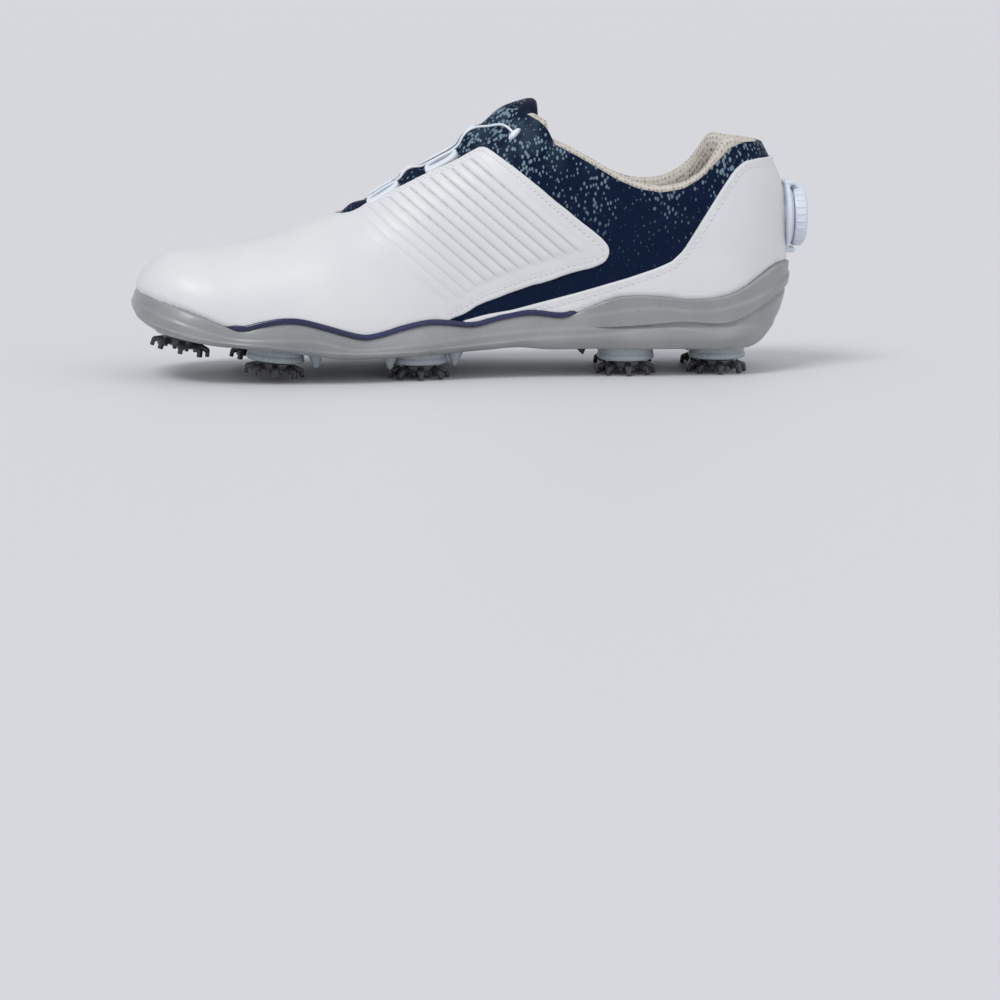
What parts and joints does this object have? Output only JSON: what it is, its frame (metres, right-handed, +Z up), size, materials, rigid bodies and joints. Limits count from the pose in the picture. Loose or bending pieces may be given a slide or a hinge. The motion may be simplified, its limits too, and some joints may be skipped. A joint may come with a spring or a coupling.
{
  "type": "golf shoe",
  "caption": "Right-foot low-cut golf shoe with a heel reel that winds a thin cable over the throat, a ribbed white upper, a navy collar and twist-in cleats.",
  "frame": {"origin": "centre of the bounding box's base, on the ground under the cleats", "axes": "+X from toe to heel, +Y to the lateral (outer) side, +Z up"},
  "size_m": [0.3131, 0.1067, 0.125],
  "materials": {
    "white_leather": "fine-grained coated white leather, satin",
    "navy_print": "navy synthetic with a pale grey-blue fleck print",
    "navy_binding": "smooth dark navy edge binding",
    "knit_lining": "beige spacer-mesh knit",
    "foam": "soft collar foam",
    "stiffener": "thermoplastic and fibre board",
    "sole_tpu": "grey slightly translucent TPU, satin",
    "heel_tpu": "grey slightly translucent TPU, satin",
    "midsole_foam": "moulded EVA foam",
    "steel": "plain steel",
    "navy_gloss": "glossy navy moulding",
    "smoke_tpu": "black TPU",
    "socket_plastic": "pale blue-grey translucent moulding",
    "cleat_plastic": "smoky dark TPU",
    "guide_plastic": "bluish white nylon",
    "reel_shell": "bluish white moulding",
    "reel_inner": "dark acetal",
    "lace_coat": "coated cable, bluish white",
    "tube_nylon": "nylon guide tube",
    "label_film": "plain pale grey film patch"
  },
  "bodies": {
    "root": {"vamp": "white_leather", "heel_counter": "white_leather", "eyestay_medial": "navy_print", "eyestay_lateral": "navy_print", "collar_quarter": "navy_print", "tongue": "navy_print", "tongue_binding": "navy_binding", "toe_puff": "stiffener", "counter_stiffener": "stiffener", "lasting_board": "stiffener", "collar_padding": "foam", "lining": "knit_lining", "sockliner": "knit_lining", "outsole": "sole_tpu", "heel_cup": "heel_tpu", "midsole": "midsole_foam", "shank": "steel", "trim_medial": "navy_gloss", "trim_lateral": "navy_gloss", "forefoot_traction": "smoke_tpu", "heel_traction": "smoke_tpu", "lace": "lace_coat", "lace_tube_medial": "tube_nylon", "lace_tube_lateral": "tube_nylon", "loop_guide_upper_medial": "guide_plastic", "loop_guide_upper_lateral": "guide_plastic", "loop_guide_lower_medial": "guide_plastic", "loop_guide_lower_lateral": "guide_plastic", "tongue_guide_upper": "guide_plastic", "tongue_guide_lower": "guide_plastic", "lace_ferrule_medial": "guide_plastic", "lace_ferrule_lateral": "guide_plastic", "reel_cup": "guide_plastic", "reel_ratchet": "guide_plastic", "reel_screw": "steel", "label_patch": "label_film", "heel_tab": "navy_gloss", "socket_toe": "socket_plastic", "socket_medial_front": "socket_plastic", "socket_lateral_front": "socket_plastic", "socket_medial_ball": "socket_plastic", "socket_lateral_ball": "socket_plastic", "socket_medial_heel_front": "socket_plastic", "socket_lateral_heel_front": "socket_plastic", "socket_medial_heel_back": "socket_plastic", "socket_lateral_heel_back": "socket_plastic"},
    "reel_carrier": {"reel_carrier": "reel_inner"},
    "reel_knob": {"reel_knob": "reel_shell"},
    "reel_spool": {"reel_spool": "reel_inner"},
    "cleat_toe": {"cleat_toe": "cleat_plastic"},
    "cleat_medial_front": {"cleat_medial_front": "cleat_plastic"},
    "cleat_lateral_front": {"cleat_lateral_front": "cleat_plastic"},
    "cleat_medial_ball": {"cleat_medial_ball": "cleat_plastic"},
    "cleat_lateral_ball": {"cleat_lateral_ball": "cleat_plastic"},
    "cleat_medial_heel_front": {"cleat_medial_heel_front": "cleat_plastic"},
    "cleat_lateral_heel_front": {"cleat_lateral_heel_front": "cleat_plastic"},
    "cleat_medial_heel_back": {"cleat_medial_heel_back": "cleat_plastic"},
    "cleat_lateral_heel_back": {"cleat_lateral_heel_back": "cleat_plastic"}
  },
  "joints": [
    {"name": "knob_release", "type": "slide", "parent": "root", "child": "reel_carrier", "axis": [1, 0, 0], "range_m": [0, 0.0035]},
    {"name": "knob_spin", "type": "hinge", "parent": "reel_carrier", "child": "reel_knob", "pos_m": [0.15, -0.0016, 0.071], "axis": [1, 0, 0], "continuous": true},
    {"name": "spool_spin", "type": "hinge", "parent": "root", "child": "reel_spool", "pos_m": [0.145, -0.0016, 0.071], "axis": [1, 0, 0], "continuous": true},
    {"name": "twist_toe", "type": "hinge", "parent": "root", "child": "cleat_toe", "pos_m": [-0.136, -0.008, 0.011], "axis": [-0.225, 0, -0.9744], "range_deg": [0, 60]},
    {"name": "twist_medial_front", "type": "hinge", "parent": "root", "child": "cleat_medial_front", "pos_m": [-0.0935, -0.034, 0.0026], "axis": [-0.1045, 0, -0.9945], "range_deg": [0, 60]},
    {"name": "twist_lateral_front", "type": "hinge", "parent": "root", "child": "cleat_lateral_front", "pos_m": [-0.0985, 0.024, 0.003], "axis": [-0.1045, 0, -0.9945], "range_deg": [0, 60]},
    {"name": "twist_medial_ball", "type": "hinge", "parent": "root", "child": "cleat_medial_ball", "pos_m": [-0.0265, -0.028, 0], "axis": [0, 0, -1], "range_deg": [0, 60]},
    {"name": "twist_lateral_ball", "type": "hinge", "parent": "root", "child": "cleat_lateral_ball", "pos_m": [-0.0225, 0.033, 0], "axis": [0, 0, -1], "range_deg": [0, 60]},
    {"name": "twist_medial_heel_front", "type": "hinge", "parent": "root", "child": "cleat_medial_heel_front", "pos_m": [0.07, -0.02, 0], "axis": [0, 0, -1], "range_deg": [0, 60]},
    {"name": "twist_lateral_heel_front", "type": "hinge", "parent": "root", "child": "cleat_lateral_heel_front", "pos_m": [0.0735, 0.019, 0], "axis": [0, 0, -1], "range_deg": [0, 60]},
    {"name": "twist_medial_heel_back", "type": "hinge", "parent": "root", "child": "cleat_medial_heel_back", "pos_m": [0.113, -0.018, 0], "axis": [0, 0, -1], "range_deg": [0, 60]},
    {"name": "twist_lateral_heel_back", "type": "hinge", "parent": "root", "child": "cleat_lateral_heel_back", "pos_m": [0.1145, 0.015, 0], "axis": [0, 0, -1], "range_deg": [0, 60]}
  ],
  "couplings": [
    {"joint": "spool_spin", "follows": "knob_spin", "ratio": 1}
  ]
}
